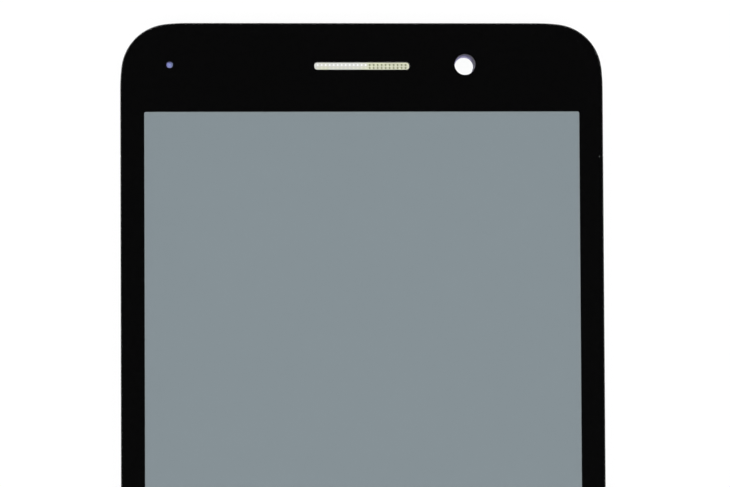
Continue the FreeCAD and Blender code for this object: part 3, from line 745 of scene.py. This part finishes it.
def flex_parts():
    """Every capacitor of both flexes, soldered at both ends."""
    solids = []
    for low, high in solid_boxes("flex_components"):
        solids.append(capacitor(low, high))
        solids += [solder(low, high, side) for side in (-1, 1)]
    piece("soldered_parts", solids, [ceramic(), tin()], ["flex_components"])


def ear_solder():
    """Joints that tie the lamp flex's tail to the ear of the display flex."""
    flex_low, flex_high = box("display_flex")
    tail_x = float(flex_high[0]) - EAR_PADS_FROM_SIDE
    y = float(box("led_flex")[1][1]) - EAR_PADS_FROM_TOP
    size = (EAR_PAD_SIZE[0] / 2, EAR_PAD_SIZE[1] / 2, EAR_PAD_SIZE[2])
    pads = [
        dome(tail_x + (i - (EAR_PADS - 1) / 2) * EAR_PAD_PITCH, y, float(flex_low[2]), size)
        for i in range(EAR_PADS)
    ]
    piece("ear_solder", pads, [tin()], smooth=60.0)


def touch_tracks():
    """Silver tracks under the touch film: down both sides, along the lower edge and into the touch flex."""
    low, high = box("touch_sensor_film")
    flex_low, flex_high = box("touch_flex")
    tray_low = box("backlight_tray")[0]
    flex_middle = (flex_low[0] + flex_high[0]) / 2
    level = float(low[2])
    solids = []
    for side in (-1, 1):
        for i in range(TRACK_COUNT):
            inset = TRACK_EDGE + i * TRACK_PITCH
            x = side * (high[0] - inset)
            bottom = low[1] + TRACK_FOOT + i * TRACK_PITCH
            end = flex_middle + side * (NECK_HALF + (TRACK_COUNT - 1 - i) * NECK_PITCH)
            top = high[1] - TRACK_TOP - i * (high[1] - tray_low[1]) / (TRACK_COUNT + 1)
            route = [
                (x, top), (x, bottom + TRACK_CORNER), (x - side * TRACK_CORNER, bottom),
                (end + side * NECK_CORNER, bottom), (end, bottom - NECK_TAIL),
            ]
            solids.append(ribbon(route, TRACK_WIDTH, level - TRACK_HEIGHT, level + LAP))
    piece("touch_tracks", solids, [silver_paste()])


def lets_light_past(layer):
    """Keeps a layer over the picture or the mesh from shading what lies below it."""
    layer.visible_shadow = False
    layer.visible_diffuse = False


def slot_shade_lining():
    """Dark lining on the wall of the earpiece slot, its colour a painted shade that casts no shadow: its
    outline moved a hair out and in, between two levels.
    """
    glass_low, glass_high = box("cover_glass")
    mesh_low, mesh_high = box("earpiece_mesh")
    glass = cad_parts["cover_glass"].data
    points = np.empty(len(glass.vertices) * 3)
    glass.vertices.foreach_get("co", points)
    points = points.reshape(-1, 3) / MM
    over_mesh = ((points[:, :2] > mesh_low[:2]) & (points[:, :2] < mesh_high[:2])).all(1)
    rim = points[over_mesh & (points[:, 2] < glass_low[2] + LAP)]
    low, high = rim[:, :2].min(0), rim[:, :2].max(0)
    half = (high - low) / 2
    foot, head = glass_low[2], glass_high[2] - SLOT_MOUTH
    rings = []
    for shift, z in ((LAP, foot), (LAP, head), (-LAP, head), (-LAP, foot)):
        outline = rounded_ring(half[0] + shift, half[1] + shift, SLOT_CORNER + shift, 7) + (low + high) / 2
        rings.append(np.column_stack([outline, np.full(len(outline), z)]))
    wall = piece("slot_shade_lining", [loft(np.stack(rings, 1), closed=True)], [slot_lining_painted_shade()])
    lets_light_past(wall)


def glass_flake():
    """Shallow flake in the face of the glass, a little inside it."""
    top = float(box("cover_glass")[1][2]) - FLAKE_DEPTH
    solid = dome(*FLAKE_PLACE, top, FLAKE_SIZE, steps=5, around=9)
    piece("glass_flake", [solid], [flake()], smooth=20.0)


def held_in(node):
    """Pairs of (old, new) levels that keep a layer a hair inside its own lowest and highest Z."""
    low, high = box(node)
    return [(low[2], low[2] + LAP), (high[2], high[2] - LAP)]


def clear_layers():
    """The print lapped into the glass, and the clear layers held a hair apart from what lies under them.

    None of them shades what lies below, so the picture area stays even right up to the border.
    """
    print_low, print_high = (corner[2] for corner in box("border_ink"))
    adhesive = clear("optical_adhesive", 1.02, (0.97, 0.98, 0.98))
    made = [
        shifted("border_ink", "border_print", [(print_low, print_low), (print_high, print_high + LAP)],
                black_print()),
        shifted("upper_optical_adhesive", "upper_adhesive",
                [*held_in("upper_optical_adhesive"), (print_low, print_low - LAP)],
                adhesive),
        shifted("touch_sensor_film", "touch_film", held_in("touch_sensor_film"),
                clear("sensor_film", 1.30, (0.96, 0.97, 0.95))),
        shifted("lower_optical_adhesive", "lower_adhesive", held_in("lower_optical_adhesive"),
                adhesive),
    ]
    for layer in [*made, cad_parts["cover_glass"]]:
        lets_light_past(layer)


def dress():
    """Gives every CAD node its finish."""
    tape, moulding, contact, plate = black_tape(), connector_moulding(), gold(), stiffener()
    glass, sheet = cut_glass(), prism_film()
    finishes = {
        "cover_glass": clear("clear_glass", 1.51, (0.985, 0.992, 0.990)),
        "frame_adhesive": foam("black_adhesive", (0.008, 0.008, 0.008), (0.022, 0.022, 0.022), 0.08),
        "front_polarizer": polarizer_film(),
        "rear_polarizer": rear_film(),
        "color_filter_glass": glass,
        "tft_glass": glass,
        "driver_chip": silicon(),
        "light_shield_tape": tape,
        "display_flex_tape": tape,
        "touch_flex_tape": tape,
        "upper_prism_film": sheet,
        "lower_prism_film": sheet,
        "diffuser_film": milky_film("diffuser", (0.90, 0.91, 0.91)),
        "light_guide_plate": clear("clear_acrylic", 1.49, (0.94, 0.97, 0.97)),
        "reflector_film": milky_film("reflector", (0.88, 0.89, 0.90)),
        "backlight_frame": white_moulding(),
        "backlight_tray": tray_steel(),
        "led_flex": amber_flex("lamp_flex", 0.8),
        "leds": lamp_housing(),
        "display_flex": amber_flex("display_flex_film", 0.62, display_board()),
        "touch_flex": amber_flex("touch_flex_film", 0.55),
        "display_stiffener": plate,
        "touch_stiffener": plate,
        "display_connector": moulding,
        "touch_connector": moulding,
        "display_connector_contacts": contact,
        "touch_connector_contacts": contact,
        "touch_controller_chip": chip_package(),
        "earpiece_mesh": mesh_sheet(),
        "earpiece_gasket": foam("black_foam", (0.010, 0.010, 0.010), (0.030, 0.030, 0.031), 0.12),
        "earpiece_felt": felt(),
        "camera_gasket": camera_ring(),
        "indicator_light_guide": light_pin(),
    }
    for node, material in finishes.items():
        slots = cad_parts[node].data.materials
        slots.clear()
        slots.append(material)


def camera():
    """Camera above the glass: it looks down, turned by the fitted tilts about Z, then X, then Y."""
    data = bpy.data.cameras.new("camera")
    data.lens = LENS
    data.sensor_width = SENSOR
    data.clip_start, data.clip_end = (reach * MM for reach in CLIP)
    made = bpy.data.objects.new("camera", data)
    bpy.context.scene.collection.objects.link(made)
    made.location = Vector(CAMERA_PLACE) * MM
    tilt_x, tilt_y, roll = (math.radians(angle) for angle in CAMERA_TILT)
    turns = ((0, tilt_y, 0), (tilt_x, 0, 0), (0, 0, roll))
    about_y, about_x, about_z = (Euler(angles).to_matrix() for angles in turns)
    made.rotation_euler = (about_y @ about_x @ about_z).to_euler()
    bpy.context.scene.camera = made


def floor():
    """Pale floor: its own light makes it white where it is seen, and its grey face keeps the shadow."""
    half = FLOOR_SIDE / 2 * MM
    mesh = bpy.data.meshes.new("floor")
    corners = [(-half, -half), (half, -half), (half, half), (-half, half)]
    mesh.from_pydata([(x, y, -FLOOR_DROP * MM) for x, y in corners], [], [(0, 1, 2, 3)])
    made = bpy.data.objects.new("floor", mesh)
    bpy.context.scene.collection.objects.link(made)
    finish = Finish("floor", FLOOR_COLOR, roughness=1.0, specular=0.0)
    path = finish.add("LightPath", {}).outputs
    seen = finish.math("MAXIMUM", path["Is Camera Ray"], path["Is Glossy Ray"])
    seen = finish.math("MULTIPLY", seen, FLOOR_GLOW)
    through = finish.math("MULTIPLY", path["Is Transmission Ray"], FLOOR_GLOW_THROUGH_GLASS)
    finish.set("Emission Color", (1.0, 1.0, 1.0))
    finish.set("Emission Strength", finish.math("MAXIMUM", seen, through))
    mesh.materials.append(finish.material)


def sky():
    """Studio round the object: white near the floor, dark overhead, by the sine of the elevation."""
    world = bpy.data.worlds.new("studio")
    bpy.context.scene.world = world
    world.use_nodes = True
    nodes, links = world.node_tree.nodes, world.node_tree.links
    direction = nodes.new("ShaderNodeTexCoord").outputs["Generated"]
    split = nodes.new("ShaderNodeSeparateXYZ")
    links.new(direction, split.inputs[0])
    ramp = nodes.new("ShaderNodeValToRGB")
    links.new(split.outputs["Z"], ramp.inputs["Fac"])
    stops = ramp.color_ramp.elements
    while len(stops) < len(SKY_STOPS):
        stops.new(0.5)
    for stop, (place, level) in zip(stops, SKY_STOPS):
        stop.position = place
        stop.color = (level, level, level, 1.0)
    links.new(ramp.outputs["Color"], nodes["Background"].inputs["Color"])


def lamps():
    """Soft square lamps all round, which light the object and aren't seen in its gloss."""
    for i in range(LAMP_COUNT):
        azimuth = math.radians(LAMP_AZIMUTH + i * 360 / LAMP_COUNT)
        elevation = math.radians(LAMP_ELEVATION)
        away = Vector((math.cos(azimuth) * math.cos(elevation), math.sin(azimuth) * math.cos(elevation),
                       math.sin(elevation)))
        data = bpy.data.lights.new(f"lamp_{i}", "AREA")
        data.size = LAMP_SIDE * MM
        data.energy = LAMP_WATTS
        made = bpy.data.objects.new(f"lamp_{i}", data)
        made.location = away * LAMP_DISTANCE * MM
        made.rotation_euler = away.to_track_quat("Z", "Y").to_euler()
        made.visible_glossy = False
        made.visible_transmission = False
        bpy.context.scene.collection.objects.link(made)


dress()
clear_layers()
flex_parts()
ear_solder()
touch_tracks()
slot_shade_lining()
glass_flake()
camera()
floor()
sky()
lamps()
bpy.context.scene.view_settings.view_transform = "Standard"
